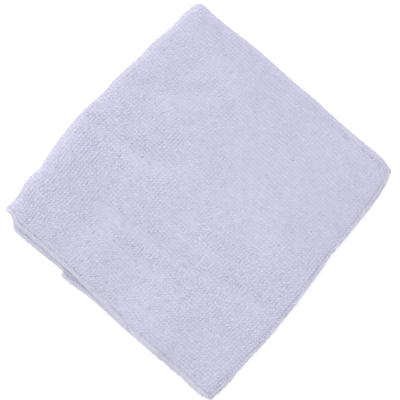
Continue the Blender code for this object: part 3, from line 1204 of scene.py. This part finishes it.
def fibre_group(look: FibreLook) -> bpy.types.NodeTree:
    """Node group that gives microfibre its uneven tone, painted shade towards the loops' roots and its fine
    fibres.

    Args:
        look: How fine and how strong the unevenness is.

    Returns:
        The group, with Colour and Height outputs.
    """
    inputs = {
        "Tip": (COLOUR, TERRY_FINISH.tip),
        "Root": (COLOUR, TERRY_FINISH.root),
        "Warm": (COLOUR, TERRY_FINISH.warm),
        "Rise": (NUMBER, 1.0),
        "Strand": (NUMBER, 0.0),
        "Tone": (NUMBER, 0.5),
        "Tone Spread": (NUMBER, TERRY_FINISH.tone_spread),
    }
    desk, entry, leave = start_group("microfibre", inputs, {"Colour": COLOUR, "Height": NUMBER})
    tip, root, warm, rise, strand, tone, tone_spread = (entry.outputs[name] for name in inputs)
    place = desk.add("ShaderNodeTexCoord").outputs["Object"]

    patches = desk.noise(place, Scale=look.patch_scale, Detail=look.patch_detail)
    fuzz = desk.noise(place, Scale=look.fuzz_scale, Detail=look.fibre_detail)
    strands = desk.add("ShaderNodeCombineXYZ", {
        "X": desk.maths("MULTIPLY", strand, look.across_yarn),
        "Y": desk.maths("MULTIPLY", rise, look.along_yarn),
        "Z": desk.maths("MULTIPLY", tone, look.between_loops),
    })
    fibres = desk.noise(
        strands.outputs["Vector"], Scale=1.0, Detail=look.fibre_detail, Roughness=look.fibre_roughness
    )

    warmed = desk.mix(patches, tip, warm)
    # Painted shade: the colour darkens from the tip down to the root, where the loops shade each other's
    # feet.
    shaded_to_root = desk.mix(desk.maths("POWER", rise, look.tip_power), root, warmed)
    mixed = desk.maths("MULTIPLY", desk.maths("ADD", fibres, fuzz), 0.5)
    by_loop = desk.off_middle(tone, tone_spread)
    by_fibre = desk.off_middle(mixed, look.fibre_spread)
    by_patch = desk.off_middle(patches, look.patch_spread)
    shade = desk.maths("ADD", desk.maths("ADD", by_loop, by_fibre), desk.maths("ADD", by_patch, 1.0))
    toned = desk.add("ShaderNodeVectorMath", {"Vector": shaded_to_root, "Scale": shade}, operation="SCALE")
    desk.feed(leave, {"Colour": toned.outputs["Vector"], "Height": mixed})
    return desk.tree


def knit_group(look: KnitLook) -> bpy.types.NodeTree:
    """Node group that raises the small slanted stitches of the knitted ground.

    Args:
        look: The stitches' number and shape.

    Returns:
        The group, with a Height output.
    """
    inputs = {
        "Place": (VECTOR, (0.0, 0.0, 0.0)),
        "Wales": (NUMBER, look.wales),
        "Courses": (NUMBER, look.courses),
    }
    desk, entry, leave = start_group("knit_stitches", inputs, {"Height": NUMBER})
    place, wales, courses = (entry.outputs[name] for name in inputs)
    parts = desk.add("ShaderNodeSeparateXYZ", {"Vector": place}).outputs
    within = desk.maths("FRACT", desk.maths("MULTIPLY", parts["X"], wales))
    from_middle = desk.maths("MULTIPLY", desk.maths("ABSOLUTE", desk.maths("SUBTRACT", within, 0.5)), 2.0)
    course = desk.maths("MULTIPLY", parts["Y"], courses)
    slanted = desk.maths("ADD", course, desk.maths("MULTIPLY", from_middle, look.slant))
    wave = desk.maths("SINE", desk.maths("MULTIPLY", slanted, 2 * math.pi))
    rounded = desk.maths("SUBTRACT", 1.0, desk.maths("POWER", from_middle, look.roundness))
    stitch = desk.maths("ADD", desk.maths("MULTIPLY", wave, look.stitch_share), 1 - look.stitch_share)
    desk.feed(leave, {"Height": desk.maths("MULTIPLY", stitch, rounded)})
    return desk.tree


def microfibre_material(
    name: str, finish: TerryFinish, group: bpy.types.NodeTree, by_loop: bool
) -> bpy.types.Material:
    """Make one microfibre material.

    Args:
        name: The material's name.
        finish: Its tones and mattness.
        group: The shared fibre group.
        by_loop: True where the piece holds rise, strand and tone values.

    Returns:
        The material.
    """
    material = bpy.data.materials.new(name)
    material.use_nodes = True
    desk = NodeDesk(material.node_tree)
    fibre = desk.add("ShaderNodeGroup", node_tree=group)
    desk.feed(fibre, {
        "Tip": finish.tip, "Root": finish.root, "Warm": finish.warm, "Tone Spread": finish.tone_spread,
    })
    bump = desk.add("ShaderNodeBump", {
        "Strength": finish.bump_strength,
        "Distance": finish.fibre_depth,
        "Height": fibre.outputs["Height"],
    })
    if by_loop:
        for value in ("Rise", "Strand", "Tone"):
            reader = desk.add("ShaderNodeAttribute", attribute_name=value.lower())
            desk.feed(fibre, {value: reader.outputs["Fac"]})
    else:
        flat = desk.add("ShaderNodeUVMap", uv_map=FLAT_MAP).outputs["UV"]
        knit = desk.add("ShaderNodeGroup", {"Place": flat}, node_tree=knit_group(KnitLook()))
        stitches = desk.add("ShaderNodeBump", {
            "Strength": finish.bump_strength,
            "Distance": finish.stitch_depth,
            "Height": knit.outputs["Height"],
        })
        desk.feed(bump, {"Normal": stitches.outputs["Normal"]})
    desk.feed(desk.tree.nodes["Principled BSDF"], {
        "Base Color": fibre.outputs["Colour"],
        "Roughness": finish.roughness,
        "Sheen Weight": finish.sheen,
        "Sheen Roughness": finish.sheen_roughness,
        "Specular IOR Level": finish.shine,
        "Subsurface Weight": finish.scatter,
        "Subsurface Scale": finish.scatter_reach,
        "Subsurface Radius": (1.0, 1.0, 1.0),
        "Normal": bump.outputs["Normal"],
    })
    return material


@dataclass
class Studio:
    """Plain pale floor, soft light and the camera above the cloth."""

    floor_size: float = 4.0
    floor_colour: Colour = (0.93, 0.93, 0.94, 1.0)
    floor_glow: float = 0.2
    sky: float = 0.40
    lamp_power: float = 9.2
    lamp_size: float = 1.5
    lamp_way: Way = (0.05, 0.74, 0.67)
    lamp_distance: float = 1.3
    overhead_power: float = 16.5
    overhead_size: float = 1.5
    view_distance: float = 0.75
    azimuth: float = -45.0
    elevation: float = 85.0
    frame_width: float = 0.210
    sensor: float = 36.0
    aim: Way = (0.0, 0.0, 0.006)
    aim_right: float = -0.0012
    aim_up: float = -0.0016

    def build_floor(self) -> bpy.types.Object:
        """Lay the floor under the cloth, with a faint glow of its own.

        Returns:
            The floor, which is left out of the part.
        """
        bpy.ops.object.select_all(action="DESELECT")
        bpy.ops.mesh.primitive_plane_add(size=self.floor_size, location=(0.0, 0.0, 0.0))
        floor = bpy.context.object
        floor.name = "floor"
        material = bpy.data.materials.new("pale_floor")
        material.use_nodes = True
        desk = NodeDesk(material.node_tree)
        desk.feed(desk.tree.nodes["Principled BSDF"], {
            "Base Color": self.floor_colour,
            "Roughness": 1.0,
            "Specular IOR Level": 0.0,
            "Emission Color": self.floor_colour,
            "Emission Strength": self.floor_glow,
        })
        floor.data.materials.append(material)
        return floor

    def build_light(self) -> None:
        """Set a pale sky, a large soft lamp at the upper left of the photograph and one overhead."""
        scene = bpy.context.scene
        world = bpy.data.worlds.new("pale_sky")
        world.use_nodes = True
        desk = NodeDesk(world.node_tree)
        desk.feed(desk.tree.nodes["Background"], {"Color": (1.0, 1.0, 1.0, 1.0), "Strength": self.sky})
        scene.world = world
        scene.view_settings.view_transform = "Standard"
        for name, power, size, way in (
            ("soft_lamp", self.lamp_power, self.lamp_size, self.lamp_way),
            ("overhead_lamp", self.overhead_power, self.overhead_size, (0.0, 0.0, 1.0)),
        ):
            lamp_data = bpy.data.lights.new(name, "AREA")
            lamp_data.energy = power
            lamp_data.size = size
            lamp = bpy.data.objects.new(name, lamp_data)
            direction = Vector(way).normalized()
            lamp.location = direction * self.lamp_distance
            lamp.rotation_euler = direction.to_track_quat("Z", "Y").to_euler()
            scene.collection.objects.link(lamp)

    def build_camera(self) -> bpy.types.Object:
        """Hang the camera where the photograph was taken from.

        Returns:
            The camera, which is also made the scene's own.
        """
        camera_data = bpy.data.cameras.new("camera")
        camera_data.sensor_width = self.sensor
        camera_data.lens = self.sensor * self.view_distance / self.frame_width
        camera = bpy.data.objects.new("camera", camera_data)
        turn, tilt = math.radians(self.azimuth), math.radians(self.elevation)
        ahead = Vector((-math.sin(turn), math.cos(turn), 0.0))
        away = -ahead * math.cos(tilt) + Vector((0.0, 0.0, math.sin(tilt)))
        rightward = Vector((math.cos(turn), math.sin(turn), 0.0))
        aim = Vector(self.aim) + rightward * self.aim_right + ahead * self.aim_up
        camera.location = aim + away * self.view_distance
        camera.rotation_euler = away.to_track_quat("Z", "Y").to_euler()
        bpy.context.scene.collection.objects.link(camera)
        bpy.context.scene.camera = camera
        return camera


def main() -> None:
    """Build the studio, the ground, the pile and the hem, and attach them to the cloth's body."""
    logging.basicConfig(level=logging.INFO, format="%(message)s")
    studio = Studio()
    studio.build_camera()
    studio.build_floor()
    studio.build_light()

    plan = FoldPlan()
    plan.centre_on(*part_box(CAD_NODE))
    ground = KnitGround()
    sheet = ground.build(plan)
    log.info("%s: %d faces", sheet.name, len(sheet.data.polygons))
    pile = Pile(plan, ground).build()
    stitches = OverlockHem(plan, ground).build_stitches()

    group = fibre_group(FibreLook())
    pile_material = microfibre_material("terry_pile", TERRY_FINISH, group, by_loop=True)
    ground_material = microfibre_material("terry_ground", GROUND_FINISH, group, by_loop=False)
    thread_material = microfibre_material("hem_thread", THREAD_FINISH, group, by_loop=True)
    sheet.data.materials.append(ground_material)
    for piece in pile:
        piece.data.materials.append(pile_material)
    stitches.data.materials.append(thread_material)

    for piece in (sheet, stitches, *pile):
        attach(piece, BODY)
    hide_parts(CAD_NODE)


if __name__ == "__main__":
    main()
